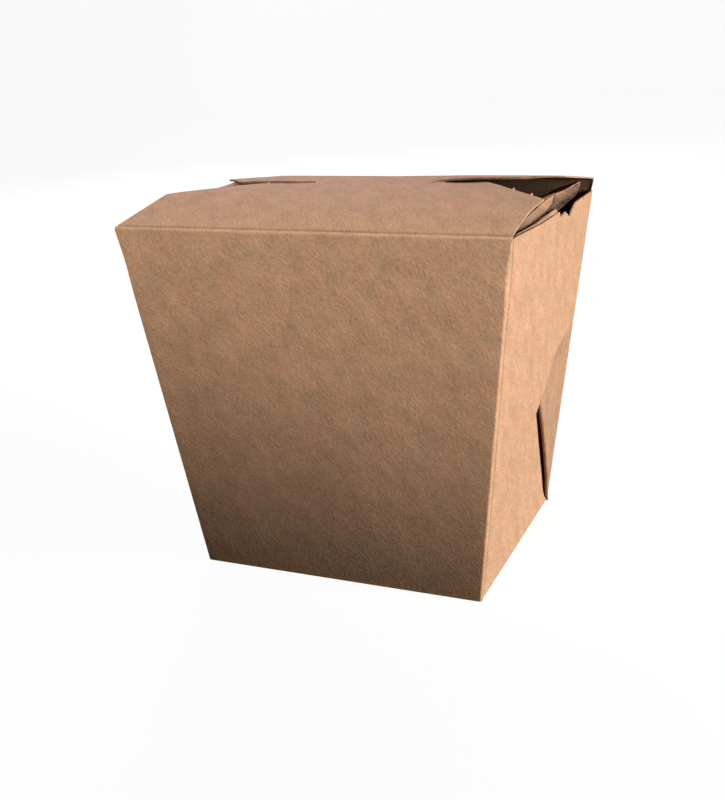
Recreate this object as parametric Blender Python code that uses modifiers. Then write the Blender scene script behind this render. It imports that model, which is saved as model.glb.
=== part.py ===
"""A noodle takeaway box, folded from one piece of kraft board and shut by its two top flaps.

Metres, +Z up. The origin is the middle of the base, on the surface that the box stands on.
-Y is the front and +X the right-hand side, where the back corner gapes open.
"""

import math

import bmesh
import bpy
from mathutils import Matrix, Vector

# Driving dimensions of the folded box
TOP_LENGTH = 0.105
TOP_DEPTH = 0.082
BASE_LENGTH = 0.081
BASE_DEPTH = 0.066
HEIGHT = 0.097
BOARD = 0.0006

# The side walls are three boards thick: the side panel and the webs that are folded over it
LINING = 2 * BOARD
LAP = 0.0003
SIDE_LEAN = math.atan2((TOP_LENGTH - BASE_LENGTH) / 2, HEIGHT)

# The rim of a side wall, front to back: how far back, and how far below the top folds.
# Its crease is perforated, and behind the first tooth it has torn open into a V.
FLAP_START_Y = -0.036
TEAR_Y = 0.0009
RIM = (
    (-TOP_DEPTH / 2, 0.0),
    (FLAP_START_Y, 0.0004),
    (-0.0152, 0.0023),
    (TEAR_Y, 0.0022),
    (0.0047, 0.0038),
    (0.0112, 0.0043),
    (0.0152, 0.0061),
    (0.0205, 0.0034),
    (TOP_DEPTH / 2, 0.0038),
)

# The closing flaps. Between the slits the front flap's tongue lies over the back flap.
NECK = 0.0192
SLIT_Y = 0.0070
SHOULDER_X = 0.0527
SHOULDER_Y = -0.0147
SHOULDER_END_X = 0.0310
TONGUE_END_Y = 0.0300
TONGUE_SIDE_GAP = 0.0006
BACK_SHOULDER_X = 0.0500
BACK_SHOULDER_Y = 0.0165
BACK_EDGE_X = 0.0416
BACK_EDGE_Y = 0.0086
CROWN = 0.0042
CROWN_Y = 0.0100
FRONT_ARCH = 3.2
BACK_ARCH = 2
LAYER_GAP = 0.0004
BACK_BEND = 0.0110
LIFTED_X = 0.0300
LEFT_LIFT = 0.0003
RIGHT_LIFT = 0.0010
LEFT_DROOP = 0.0018

# The side flaps, folded in under the closing flaps
SIDE_FLAP_INNER_X = 0.0420
SIDE_FLAP_RIDGE_X = 0.0475
SIDE_FLAP_FREE_X = 0.0500
SIDE_FLAP_END_Y = 0.0360
SIDE_FLAP_LEVEL = 0.0942
SIDE_FLAP_RIDGE = 0.0012
SIDE_FLAP_SAG = 0.0020

# The webs on a side wall, as (back from the middle of the wall, up its slope)
WEB_POINT = (0.0037, 0.0402)
WEB_BEND = (0.0161, 0.0519)
WEB_BACK_HEIGHT = 0.0574
WEB_TUCK = 0.0040
WEB_SPRING = 0.0029
WEB_CURL = 1.5
WEB_SUNK = 0.00015
WEB_THICKNESS = 2 * BOARD
PANEL_MARGIN = 0.0010

NODE = "carton"
KRAFT = (0.46, 0.27, 0.16, 1.0)
KRAFT_ROUGHNESS = 0.85


def between(low, high, share):
    return low + (high - low) * share


def half_length(z):
    return between(BASE_LENGTH, TOP_LENGTH, z / HEIGHT) / 2


def half_depth(z):
    return between(BASE_DEPTH, TOP_DEPTH, z / HEIGHT) / 2


def smooth(low, high, value):
    """0 up to low, 1 from high, and an S-shaped rise between them."""
    share = min(max((value - low) / (high - low), 0.0), 1.0)
    return share * share * (3 - 2 * share)


def along(points, value):
    """The second number of a row of pairs, read between them at a value of the first."""
    for (left, low), (right, high) in zip(points, points[1:]):
        if value <= right:
            return between(low, high, (value - left) / (right - left))
    return points[-1][1]


def patch(bm, columns, rows, place):
    """One panel as a grid, whose lines cross at place(column, row)."""
    wide, tall = len(columns) - 1, len(rows) - 1
    grid = bmesh.ops.create_grid(bm, x_segments=wide, y_segments=tall, size=1)
    for vert in grid["verts"]:
        column = columns[round((vert.co.x + 1) / 2 * wide)]
        row = rows[round((vert.co.y + 1) / 2 * tall)]
        vert.co = place(column, row)


def sheet(name, fill, thickness, outward):
    """A closed board behind the surface that fill draws, whose furthest face looks outward."""
    bm = bmesh.new()
    fill(bm)
    bmesh.ops.remove_doubles(bm, verts=bm.verts, dist=1e-6)
    bmesh.ops.recalc_face_normals(bm, faces=bm.faces)
    furthest = max(bm.faces, key=lambda face: face.calc_center_median().dot(outward))
    if furthest.normal.dot(outward) < 0:
        bmesh.ops.reverse_faces(bm, faces=bm.faces)
    mesh = bpy.data.meshes.new(name)
    bm.to_mesh(mesh)
    bm.free()
    board = bpy.data.objects.new(name, mesh)
    bpy.context.scene.collection.objects.link(board)
    solidify = board.modifiers.new("board", "SOLIDIFY")
    solidify.thickness = thickness
    solidify.offset = -1
    solidify.use_even_offset = True
    solidify.use_quality_normals = True
    return board


def as_mesh(obj):
    """The object with its modifiers applied, or a curve made a mesh with welded caps."""
    graph = bpy.context.evaluated_depsgraph_get()
    mesh = bpy.data.meshes.new_from_object(obj.evaluated_get(graph))
    bm = bmesh.new()
    bm.from_mesh(mesh)
    bmesh.ops.remove_doubles(bm, verts=bm.verts, dist=1e-7)
    bm.to_mesh(mesh)
    bm.free()
    name = obj.name
    placed = obj.matrix_world.copy()
    bpy.data.objects.remove(obj)
    made = bpy.data.objects.new(name, mesh)
    made.matrix_world = placed
    bpy.context.scene.collection.objects.link(made)
    return made


def side_matrix(side):
    """A side wall's own frame: X runs to the back, Y up the slope and Z out of the wall."""
    back = Vector((0, 1, 0))
    up = Vector((side * math.sin(SIDE_LEAN), 0, math.cos(SIDE_LEAN)))
    out = Vector((side * math.cos(SIDE_LEAN), 0, -math.sin(SIDE_LEAN)))
    frame = Matrix((back, up, out)).transposed().to_4x4()
    frame.translation = Vector((side * BASE_LENGTH / 2, 0, 0))
    return frame


def side_prism(name, side, outline, low, high):
    """A flat plate on a side wall, from low to high along the wall's outward normal."""
    curve = bpy.data.curves.new(name, "CURVE")
    curve.dimensions = "2D"
    curve.fill_mode = "BOTH"
    curve.extrude = (high - low) / 2
    spline = curve.splines.new("POLY")
    spline.points.add(len(outline) - 1)
    for point, (back, up) in zip(spline.points, outline):
        # The left wall's frame is turned half way round, so that it stays right-handed.
        point.co = (side * back, up, 0, 1)
    spline.use_cyclic_u = True
    plate = bpy.data.objects.new(name, curve)
    turn = Matrix.Rotation(0 if side > 0 else math.pi, 4, "Z")
    right = side_matrix(1) @ Matrix.Translation((0, 0, (low + high) / 2))
    plate.matrix_world = turn @ right
    bpy.context.scene.collection.objects.link(plate)
    return as_mesh(plate)


def crown(y):
    """How high the closed flaps arch over the top folds, at a place along the depth."""
    if y < CROWN_Y:
        reach = CROWN_Y + TOP_DEPTH / 2
        return CROWN * (1 - ((CROWN_Y - y) / reach) ** FRONT_ARCH)
    reach = TOP_DEPTH / 2 - CROWN_Y
    return CROWN * (1 - ((y - CROWN_Y) / reach) ** BACK_ARCH)


def rows_to(start, end, count):
    """Evenly spaced rows after start, the last one at end."""
    return [between(start, end, (i + 1) / count) for i in range(count)]


def flap_columns():
    """Places across a closing flap at its fold, with lines at both sides of the neck."""
    edge = TOP_LENGTH / 2
    right = [NECK, between(NECK, edge, 0.33), between(NECK, edge, 0.67), edge]
    middle = [-NECK / 3, NECK / 3]
    return [-x for x in reversed(right)] + middle + right


def spread(x, edge):
    """Where a column that starts at x on the fold runs, on a row that reaches out to edge."""
    if abs(x) <= NECK:
        return x
    share = (abs(x) - NECK) / (TOP_LENGTH / 2 - NECK)
    return math.copysign(between(NECK, edge, share), x)


def front_flap(bm):
    edges = (
        (-TOP_DEPTH / 2, TOP_LENGTH / 2),
        (SHOULDER_Y, SHOULDER_X),
        (SLIT_Y, SHOULDER_END_X),
    )
    fold = -TOP_DEPTH / 2
    rows = [fold] + rows_to(fold, SHOULDER_Y, 4) + rows_to(SHOULDER_Y, SLIT_Y, 3)

    def place(x, y):
        return Vector((spread(x, along(edges, y)), y, HEIGHT + crown(y)))

    patch(bm, flap_columns(), rows, place)

    def tongue(x, y):
        narrow = TONGUE_SIDE_GAP * smooth(SLIT_Y, SLIT_Y + 0.1 * TOP_DEPTH, y)
        return Vector((x * (1 - narrow / NECK), y, HEIGHT + crown(y)))

    middle = [x for x in flap_columns() if abs(x) <= NECK]
    patch(bm, middle, [SLIT_Y] + rows_to(SLIT_Y, TONGUE_END_Y, 4), tongue)


def back_flap(bm):
    edges = (
        (BACK_EDGE_Y, BACK_EDGE_X),
        (BACK_SHOULDER_Y, BACK_SHOULDER_X),
        (TOP_DEPTH / 2, TOP_LENGTH / 2),
    )
    fold = TOP_DEPTH / 2
    rows = [BACK_EDGE_Y] + rows_to(BACK_EDGE_Y, BACK_SHOULDER_Y, 2) + rows_to(BACK_SHOULDER_Y, fold, 4)

    def place(x, y):
        under_tongue = -(BOARD + LAYER_GAP)
        lift = RIGHT_LIFT if x > 0 else LEFT_LIFT
        shift = between(under_tongue, lift, smooth(NECK, LIFTED_X, abs(x)))
        shift -= LEFT_DROOP * smooth(LIFTED_X, TOP_LENGTH / 2, -x)
        from_fold = min(1, (fold - y) / BACK_BEND)
        return Vector((spread(x, along(edges, y)), y, HEIGHT + crown(y) + shift * from_fold))

    patch(bm, flap_columns(), rows, place)


def side_columns():
    return [y for y, _ in RIM]


def wall_point(side, y, share):
    """A point of a side wall, on the column that meets the rim near y, at a share of its height."""
    z = share * (HEIGHT - along(RIM, y))
    return Vector((side * half_length(z), y / (TOP_DEPTH / 2) * half_depth(z), z))


def side_flap(bm, side):
    """The flap folded in from a side wall's rim. Behind the tear its outer edge is free."""
    hinged = [y for y in side_columns() if FLAP_START_Y <= y <= TEAR_Y]
    free = rows_to(TEAR_Y, SIDE_FLAP_END_Y, 4)

    def place(y, across):
        outer = Vector((side * SIDE_FLAP_FREE_X, y, SIDE_FLAP_LEVEL))
        if y <= TEAR_Y:
            outer = wall_point(side, y, 1)
        ridge = outer.z + SIDE_FLAP_RIDGE * smooth(FLAP_START_Y, 0, y)
        if across == 0:
            return outer
        if across == 1:
            return Vector((side * SIDE_FLAP_RIDGE_X, y, ridge))
        return Vector((side * SIDE_FLAP_INNER_X, y, ridge - SIDE_FLAP_SAG))

    patch(bm, hinged + free, [0, 1, 2], place)


def folded_board(bm):
    """The whole blank as one surface: base, walls, closing flaps and side flaps."""
    columns = flap_columns()
    shares = [y / (TOP_DEPTH / 2) for y in side_columns()]
    edge = TOP_LENGTH / 2

    def base(x, share):
        return Vector((x / edge * half_length(0), share * half_depth(0), 0))

    patch(bm, columns, shares, base)
    patch(bm, columns, [0, HEIGHT], lambda x, z: Vector((x / edge * half_length(z), -half_depth(z), z)))
    back_rows = [0, HEIGHT - RIM[-1][1], HEIGHT]
    patch(bm, columns, back_rows, lambda x, z: Vector((x / edge * half_length(z), half_depth(z), z)))
    for side in (-1, 1):
        patch(bm, side_columns(), [0, 1], lambda y, share, side=side: wall_point(side, y, share))
        side_flap(bm, side)
    front_flap(bm)
    back_flap(bm)


def lining(side):
    """The inner boards of a side wall: its panel, and the back web's hidden layer."""
    bottom = half_depth(0) - LAP
    rim = [
        (y * (1 - 2 * LAP / TOP_DEPTH), (HEIGHT - drop) / math.cos(SIDE_LEAN) - 2 * LAP)
        for y, drop in reversed(RIM)
    ]
    outline = [(-bottom, LAP), (bottom, LAP)] + rim
    return side_prism("lining", side, outline, -BOARD - LINING, -BOARD + LAP)


def panel_pocket(side):
    """Cutter: below the webs the side panel shows, two boards further in."""
    corner = half_depth(0) - PANEL_MARGIN
    outline = [
        (-corner, -LINING),
        (corner, -LINING),
        (half_depth(0.5 * HEIGHT) - PANEL_MARGIN, WEB_BACK_HEIGHT),
        WEB_BEND,
        WEB_POINT,
    ]
    return side_prism("pocket", side, outline, -LINING, LINING)


def back_web(side):
    """The back web: hinged on the back edge, with its folded front edge sprung off the panel."""
    frame = side_matrix(side)
    top = WEB_BACK_HEIGHT + WEB_TUCK
    corner = Vector((half_depth(0) - LAP, PANEL_MARGIN, 0))
    hinge_top = Vector((half_depth(top) - LAP, top, 0))
    point = Vector((WEB_POINT[0], WEB_POINT[1] + WEB_TUCK, 0))
    steps = [0] + rows_to(0, 1, 8)

    def place(along_edge, across):
        hinge = corner.lerp(hinge_top, along_edge)
        fold = corner.lerp(point, along_edge)
        spot = hinge.lerp(fold, across)
        spot.z = -WEB_SUNK + WEB_SPRING * math.sin(math.pi * along_edge) * across ** WEB_CURL
        return frame @ spot

    web = sheet(
        "web",
        lambda bm: patch(bm, steps, [0] + rows_to(0, 1, 3), place),
        WEB_THICKNESS,
        frame.to_3x3() @ Vector((0, 0, 1)),
    )
    return as_mesh(web)


def boolean(obj, operation, others):
    """Joins or cuts with each of the others in turn, applies it and removes them."""
    for other in others:
        modifier = obj.modifiers.new(other.name, "BOOLEAN")
        modifier.operation = operation
        modifier.object = other
    result = as_mesh(obj)
    for other in others:
        bpy.data.objects.remove(other)
    return result


def kraft_board():
    material = bpy.data.materials.new("kraft_board")
    material.use_nodes = True
    shader = material.node_tree.nodes["Principled BSDF"]
    shader.inputs["Base Color"].default_value = KRAFT
    shader.inputs["Roughness"].default_value = KRAFT_ROUGHNESS
    shader.inputs["Metallic"].default_value = 0.0
    return material


def main():
    for obj in list(bpy.data.objects):
        bpy.data.objects.remove(obj)
    sides = (-1, 1)
    carton = as_mesh(sheet(NODE, folded_board, BOARD, Vector((0, 0, -1))))
    carton = boolean(carton, "UNION", [lining(side) for side in sides])
    carton = boolean(carton, "DIFFERENCE", [panel_pocket(side) for side in sides])
    carton = boolean(carton, "UNION", [back_web(side) for side in sides])
    carton.name = NODE
    carton.data.materials.clear()
    carton.data.materials.append(kraft_board())
    takeaway_box = bpy.data.collections.new("noodle takeaway box")
    bpy.context.scene.collection.children.link(takeaway_box)
    takeaway_box.objects.link(carton)
    bpy.context.scene.collection.objects.unlink(carton)


main()
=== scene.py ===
# %% [markdown]
# # A noodle takeaway box folded from one kraft board
# The real box is one die-cut board, creased and folded up. Its walls spread towards the top, the spare
# board at its corners is folded over the side walls, and two arched flaps close it by hooking together.
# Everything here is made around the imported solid, in metres: the front is -Y and the gaping corner is
# at +X, +Y.

import math

import bmesh
import bpy
import numpy as np
from mathutils import Matrix, Vector


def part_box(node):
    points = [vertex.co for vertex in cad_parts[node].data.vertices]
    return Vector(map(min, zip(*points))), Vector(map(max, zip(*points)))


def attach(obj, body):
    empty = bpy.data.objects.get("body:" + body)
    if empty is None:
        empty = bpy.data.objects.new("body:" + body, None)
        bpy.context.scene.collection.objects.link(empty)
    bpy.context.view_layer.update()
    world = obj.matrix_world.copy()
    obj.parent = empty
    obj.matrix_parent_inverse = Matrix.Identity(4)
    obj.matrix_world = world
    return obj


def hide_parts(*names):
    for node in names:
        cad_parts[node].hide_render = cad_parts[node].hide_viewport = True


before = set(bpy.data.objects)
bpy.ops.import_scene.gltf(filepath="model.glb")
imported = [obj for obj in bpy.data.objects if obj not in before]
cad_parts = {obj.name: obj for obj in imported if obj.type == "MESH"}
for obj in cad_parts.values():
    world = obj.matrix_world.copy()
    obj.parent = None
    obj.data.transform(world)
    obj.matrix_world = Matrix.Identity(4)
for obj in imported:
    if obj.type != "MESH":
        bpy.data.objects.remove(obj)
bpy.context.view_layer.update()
carton_low, carton_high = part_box("carton")
print("the packed carton is", [round(1000 * side, 1) for side in carton_high - carton_low], "mm")

# %% [markdown]
# ## Sizes
# Folding fixes nearly everything: once the base, the top and the height are known, each wall is a tapered
# panel between them. The depth comes from the frame, and the other sizes are those of the same solid.

# %% Name the sizes of the folded box
MM = 0.001
TOP_HALF_DEPTH = carton_high.y
TOP_HALF_LENGTH = 52.5 * MM
BASE_HALF_LENGTH = 40.5 * MM
BASE_HALF_DEPTH = 33.0 * MM
HEIGHT = 97.0 * MM
SIDE_LEAN = math.atan2(TOP_HALF_LENGTH - BASE_HALF_LENGTH, HEIGHT)
FRONT_LEAN = math.atan2(TOP_HALF_DEPTH - BASE_HALF_DEPTH, HEIGHT)
print("the side walls lean", round(math.degrees(SIDE_LEAN), 1), "degrees")
print("the front and back walls lean", round(math.degrees(FRONT_LEAN), 1), "degrees")


def half_length(z):
    """Half the box's length grows evenly from the base to the top."""
    return BASE_HALF_LENGTH + (TOP_HALF_LENGTH - BASE_HALF_LENGTH) * z / HEIGHT


def half_depth(z):
    """Half the box's depth grows evenly from the base to the top."""
    return BASE_HALF_DEPTH + (TOP_HALF_DEPTH - BASE_HALF_DEPTH) * z / HEIGHT


# %% [markdown]
# ## Steps and bells
# A panel could be cut from a cube or drawn point by point. A formula is easier to change: each panel is a
# function of two numbers, worked out for a whole grid at once. The formulas are put together from a few
# plain curves.

# %% Curves that the formulas share
def smooth(low, high, value):
    """0 below low, 1 above high, with an S-shaped rise of 3t² - 2t³ between them."""
    share = np.clip((value - low) / (high - low), 0, 1)
    return share * share * (3 - 2 * share)


def bump(centre, width, value):
    """A bell: 1 at the centre, falling off as e to the minus square of the distance over the width."""
    return np.exp(-(((value - centre) / width) ** 2))


def lower_of(a, b, round_off):
    """The lower of two heights, with the corner where they cross rounded off."""
    return 0.5 * (a + b - np.sqrt((a - b) ** 2 + round_off**2))


def spaced(*stops):
    """Numbers from stop to stop, where each stop is (value, steps to reach it)."""
    runs = [np.linspace(a[0], b[0], b[1] + 1)[1:] for a, b in zip(stops, stops[1:])]
    return np.concatenate([[stops[0][0]], *runs])


print("a smooth step, sampled:", np.round(smooth(0, 1, spaced((0, 0), (1, 4))), 2))

# %% [markdown]
# ## From a formula to a sheet
# A point of a panel carries its place, its place on the flat board before folding, which the paper's
# pattern follows, and how much lighter or darker it is painted: painted highlights and painted shade
# along folds, edges and gaps, and a few marks of the torn board. Panels that share an edge are welded
# there.

# %% Helpers that turn formulas into sheets
WELD_REACH = 0.002 * MM


def patch(place, across, along):
    """The panel place(across, along) on a grid, as an array of x, y, z, flat u, flat v and painted light.
    """
    a, b = np.meshgrid(across, along, indexing="ij")
    return np.stack(np.broadcast_arrays(*place(a, b)), axis=-1)


def quads(shape, start):
    """Each cell of a grid as the numbers of its four corners."""
    index = start + np.arange(shape[0] * shape[1]).reshape(shape[:2])
    corners = index[:-1, :-1], index[1:, :-1], index[1:, 1:], index[:-1, 1:]
    return np.stack(corners, axis=-1).reshape(-1, 4)


def open_sheet(name, patches):
    """One mesh of several panels that share edges, with the flat board as its UV map."""
    starts = np.cumsum([0] + [p.shape[0] * p.shape[1] for p in patches])
    values = np.concatenate([p.reshape(-1, 6) for p in patches])
    faces = np.concatenate([quads(p.shape, start) for p, start in zip(patches, starts)])
    mesh = bpy.data.meshes.new(name)
    mesh.from_pydata(values[:, :3], [], faces.tolist())
    corner_points = np.empty(len(mesh.loops), int)
    mesh.loops.foreach_get("vertex_index", corner_points)
    mesh.uv_layers.new(name="board").uv.foreach_set("vector", values[corner_points, 3:5].ravel())
    # The attribute carries painted highlights and painted shade, with a few marks of the torn board.
    mesh.attributes.new("painted_light_and_marks", "FLOAT", "POINT").data.foreach_set("value", values[:, 5].copy())
    return mesh


def weld(mesh, outward):
    """Joins the panels where they meet, and turns the face that lies furthest outward that way."""
    bm = bmesh.new()
    bm.from_mesh(mesh)
    bmesh.ops.remove_doubles(bm, verts=bm.verts, dist=WELD_REACH)
    bmesh.ops.recalc_face_normals(bm, faces=bm.faces)
    furthest = max(bm.faces, key=lambda face: face.calc_center_median().dot(outward))
    if furthest.normal.dot(outward) < 0:
        bmesh.ops.reverse_faces(bm, faces=bm.faces)
    bm.to_mesh(mesh)
    bm.free()


print("panels are welded within", round(1000 * WELD_REACH, 3), "mm")

# %% [markdown]
# ## From a sheet to a board
# The sheet is the side of the board that shows. Solidify grows the thickness behind it, so that the
# outside stays where the formulas put it, and gives the inside and the cut edges their own finishes.

# %% Give a sheet its thickness
BOARD = 0.45 * MM
SHARP = math.radians(50)


def board(name, patches, outward, materials):
    """A board of BOARD thickness behind the panels, with outer, inner and cut-edge finishes."""
    mesh = open_sheet(name, patches)
    weld(mesh, Vector(outward))
    for material in materials:
        mesh.materials.append(material)
    piece = bpy.data.objects.new(name, mesh)
    bpy.context.scene.collection.objects.link(piece)
    solidify = piece.modifiers.new("board", "SOLIDIFY")
    solidify.thickness = BOARD
    solidify.offset = -1
    solidify.material_offset = 1
    solidify.material_offset_rim = 2
    graph = bpy.context.evaluated_depsgraph_get()
    thick = piece.evaluated_get(graph)
    solid = bpy.data.meshes.new_from_object(thick, preserve_all_data_layers=True, depsgraph=graph)
    piece.modifiers.clear()
    piece.data = solid
    solid.shade_smooth()
    solid.set_sharp_from_angle(angle=SHARP)
    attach(piece, "root")
    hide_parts("carton")
    print(name, "has", len(solid.polygons), "faces")


# %% [markdown]
# ## Kraft paper, as a shared pattern
# Unbleached board is never one brown. Long fibres lie mostly along the way that the sheet ran through the
# mill, the pulp is cloudy underneath them, and dark specks are scattered between. A photo would carry
# someone else's light, so the pattern is layered noise: clouds, fine pulp, three sets of stretched fibres
# and specks. All finishes of the board share it, so it is a node group.

# %% Helpers for shader nodes
def add_node(tree, kind, inputs=(), **settings):
    """A node of that kind with its settings, whose inputs are given values or linked to sockets."""
    node = tree.nodes.new(kind)
    for name, value in settings.items():
        setattr(node, name, value)
    for name, value in dict(inputs).items():
        if isinstance(value, bpy.types.NodeSocket):
            tree.links.new(value, node.inputs[name])
        else:
            node.inputs[name].default_value = value
    return node


def math_node(tree, operation, first, second):
    """One arithmetic step on two values or sockets."""
    return add_node(tree, "ShaderNodeMath", {0: first, 1: second}, operation=operation).outputs[0]


def centred(tree, value, strength):
    """A pattern taken off its middle of 0.5 and multiplied by its strength."""
    return math_node(tree, "MULTIPLY", math_node(tree, "SUBTRACT", value, 0.5), strength)


def noise(tree, place, scale, detail=2.0, roughness=0.5):
    """Noise with that many waves to the metre, centred on 0.5."""
    inputs = {"Vector": place, "Scale": scale, "Detail": detail, "Roughness": roughness}
    return add_node(tree, "ShaderNodeTexNoise", inputs).outputs["Fac"]


def fibres(tree, place, angle, length, width):
    """Noise drawn out along one direction: turned by angle, then squeezed so that it is long one way."""
    inputs = {"Vector": place, "Rotation": (0, 0, angle)}
    turned = add_node(tree, "ShaderNodeMapping", inputs, vector_type="POINT").outputs[0]
    inputs = {"Vector": turned, "Scale": (1 / length, 1 / width, 1)}
    stretched = add_node(tree, "ShaderNodeMapping", inputs, vector_type="POINT").outputs[0]
    return noise(tree, stretched, 1.0, 3.0, 0.6)


# %% [markdown]
# The waves are counted to the metre, so 1300 of them are finer than a millimetre. Each set of fibres has
# its angle in degrees, its length, its width and its share of the pattern.

# %% Make the fibre pattern group
CLOUD_WAVES = 110
WARMTH_WAVES = 160
PULP_WAVES = 1300
SPECK_WAVES = 1500
PULP_SHARE = 0.25
SPECK_RANGE = (0.66, 0.78)
GRAIN = (
    (62, 2.0 * MM, 0.48 * MM, 0.4),
    (15, 1.2 * MM, 0.4 * MM, 0.25),
    (55, 8.0 * MM, 4.0 * MM, 0.3),
)


def kraft_pattern():
    """The shared group: Tone and Warmth vary about 0, and Height drives the bump."""
    tree = bpy.data.node_groups.new("kraft_pattern", "ShaderNodeTree")
    tree.interface.new_socket("Place", in_out="INPUT", socket_type="NodeSocketVector")
    for name in ("Clouds", "Fibres", "Specks"):
        tree.interface.new_socket(name, in_out="INPUT", socket_type="NodeSocketFloat")
    for name in ("Tone", "Warmth", "Height"):
        tree.interface.new_socket(name, in_out="OUTPUT", socket_type="NodeSocketFloat")
    given = tree.nodes.new("NodeGroupInput").outputs
    place = given["Place"]
    clouds = centred(tree, noise(tree, place, CLOUD_WAVES, 4.0, 0.55), given["Clouds"])
    hairs = centred(tree, noise(tree, place, PULP_WAVES), PULP_SHARE)
    for angle, length, width, share in GRAIN:
        set_of_hairs = fibres(tree, place, math.radians(angle), length, width)
        hairs = math_node(tree, "ADD", hairs, centred(tree, set_of_hairs, share))
    inputs = {"From Min": SPECK_RANGE[0], "From Max": SPECK_RANGE[1]}
    inputs["Value"] = noise(tree, place, SPECK_WAVES, 1.0)
    specks = add_node(tree, "ShaderNodeMapRange", inputs).outputs[0]
    tone = math_node(tree, "ADD", clouds, math_node(tree, "MULTIPLY", hairs, given["Fibres"]))
    tone = math_node(tree, "SUBTRACT", tone, math_node(tree, "MULTIPLY", specks, given["Specks"]))
    warmth = centred(tree, noise(tree, place, WARMTH_WAVES, 4.0, 0.65), 1.0)
    add_node(tree, "NodeGroupOutput", {"Tone": tone, "Warmth": warmth, "Height": hairs})
    return tree


KRAFT_PATTERN = kraft_pattern()
print("the pattern group has", len(KRAFT_PATTERN.nodes), "nodes")

# %% [markdown]
# ## Three finishes of one board
# The outer face is dry brown kraft. The inner face is the same sheet, smoother, and darker with painted
# shade, as the inside of the box lies in shade. The cut edge shows raw, paler fibres. They differ in
# colour, roughness and in how strong the pattern is, so one function makes all three from the shared
# pattern.

# %% Make the kraft finishes
WARM_TINT = (1.06, 0.97, 0.92)
OLIVE_TINT = (0.95, 1.01, 0.96)
WARMTH_SPAN = 0.18
# The share of the painted highlights, painted shade and marks in the colour.
PAINTED_LIGHT_AND_MARK_SHARE = 0.12
BOARD_GLOSS = 0.25


def tinted(colour, tint):
    """A colour times a tint, with full alpha."""
    return tuple(c * k for c, k in zip(colour, tint)) + (1,)


def kraft(name, colour, roughness, clouds, hairs, specks, bump_height):
    """Kraft board: its colour, warmer or more olive by Warmth, times 1 + Tone + a share of the painted
    light and marks.
    """
    material = bpy.data.materials.new(name)
    material.use_nodes = True
    tree = material.node_tree
    flat = add_node(tree, "ShaderNodeUVMap", uv_map="board").outputs[0]
    inputs = {"Place": flat, "Clouds": clouds, "Fibres": hairs, "Specks": specks}
    pattern = add_node(tree, "ShaderNodeGroup", inputs, node_tree=KRAFT_PATTERN).outputs
    inputs = {"Value": pattern["Warmth"], "From Min": -WARMTH_SPAN, "From Max": WARMTH_SPAN}
    share = add_node(tree, "ShaderNodeMapRange", inputs).outputs[0]
    inputs = {"Factor": share, "A": tinted(colour, OLIVE_TINT), "B": tinted(colour, WARM_TINT)}
    hue = add_node(tree, "ShaderNodeMix", inputs, data_type="RGBA").outputs["Result"]
    # Painted highlights and painted shade, with a few marks, come into the colour through this attribute.
    painted_light_and_marks = add_node(tree, "ShaderNodeAttribute", attribute_name="painted_light_and_marks").outputs["Fac"]
    tone_and_painted_light = math_node(tree, "ADD", pattern["Tone"], math_node(tree, "MULTIPLY", painted_light_and_marks, PAINTED_LIGHT_AND_MARK_SHARE))
    light = math_node(tree, "ADD", tone_and_painted_light, 1.0)
    paper = add_node(tree, "ShaderNodeVectorMath", {0: hue, "Scale": light}, operation="SCALE").outputs[0]
    inputs = {"Strength": 1.0, "Distance": bump_height, "Height": pattern["Height"]}
    relief = add_node(tree, "ShaderNodeBump", inputs).outputs[0]
    shader = tree.nodes["Principled BSDF"].inputs
    tree.links.new(paper, shader["Base Color"])
    tree.links.new(relief, shader["Normal"])
    shader["Roughness"].default_value = roughness
    shader["Specular IOR Level"].default_value = BOARD_GLOSS
    return material


OUTER = kraft("kraft_outer", (0.46, 0.262, 0.158), 0.88, 0.26, 1.9, 0.14, 0.34 * MM)
# The inner finish is darkened with painted shade.
SHADED_INNER = kraft("kraft_inner_painted_shade", (0.25, 0.145, 0.092), 0.7, 0.2, 1.2, 0.1, 0.08 * MM)
CUT_EDGE = kraft("kraft_cut_edge", (0.38, 0.235, 0.155), 0.95, 0.2, 1.5, 0.1, 0.1 * MM)
FINISHES = (OUTER, SHADED_INNER, CUT_EDGE)
print("finishes:", [material.name for material in FINISHES])

# %% [markdown]
# ## The front wall and its webs
# The front wall runs round both front corners and on over the side walls, where its spare board, the web,
# covers all but a triangle at the bottom. That is one bent sheet, so it is one formula: a number from 0 to
# 1 crosses half the wall, 1 to 2 rounds the corner, and 2 to 3 crosses the side. The corners come first.

# %% Round the corners
FOLD_RADIUS = 0.6 * MM
FOLD_Z = HEIGHT - FOLD_RADIUS
CORNER_RADIUS = 0.65 * MM
TOP_CORNER_RADIUS = 0.2 * MM
SHARPER_ABOVE = 90 * MM
CORNER_SWELL = 0.4 * MM
SWELL_Z = 87 * MM
SWELL_REACH = 5 * MM
BASE_RADIUS = 0.25 * MM
CORNER_FOOT = 0.05 * MM


def corner_radius(z):
    """A corner's fold springs a little wider below the rim, and is sharp at its upper end."""
    sharper = (CORNER_RADIUS - TOP_CORNER_RADIUS) * smooth(SHARPER_ABOVE, FOLD_Z, z)
    return CORNER_RADIUS + CORNER_SWELL * bump(SWELL_Z, SWELL_REACH, z) - sharper


def corner_foot(turn):
    """The lower edge at the base fold, which runs down to the ground round the corner."""
    return CORNER_FOOT + (BASE_RADIUS - CORNER_FOOT) * (1 - smooth(1, 1.6, turn))


print("the corners' radius at the top is", round(1000 * float(corner_radius(FOLD_Z)), 2), "mm")

# %% [markdown]
# ### The lower edge of a web
# From the bottom corner the web is folded up to a point. From there its cut edge crosses the back web,
# which pushes it out a little. The side panel lies deeper than the webs, though hardly so at the base.

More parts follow.
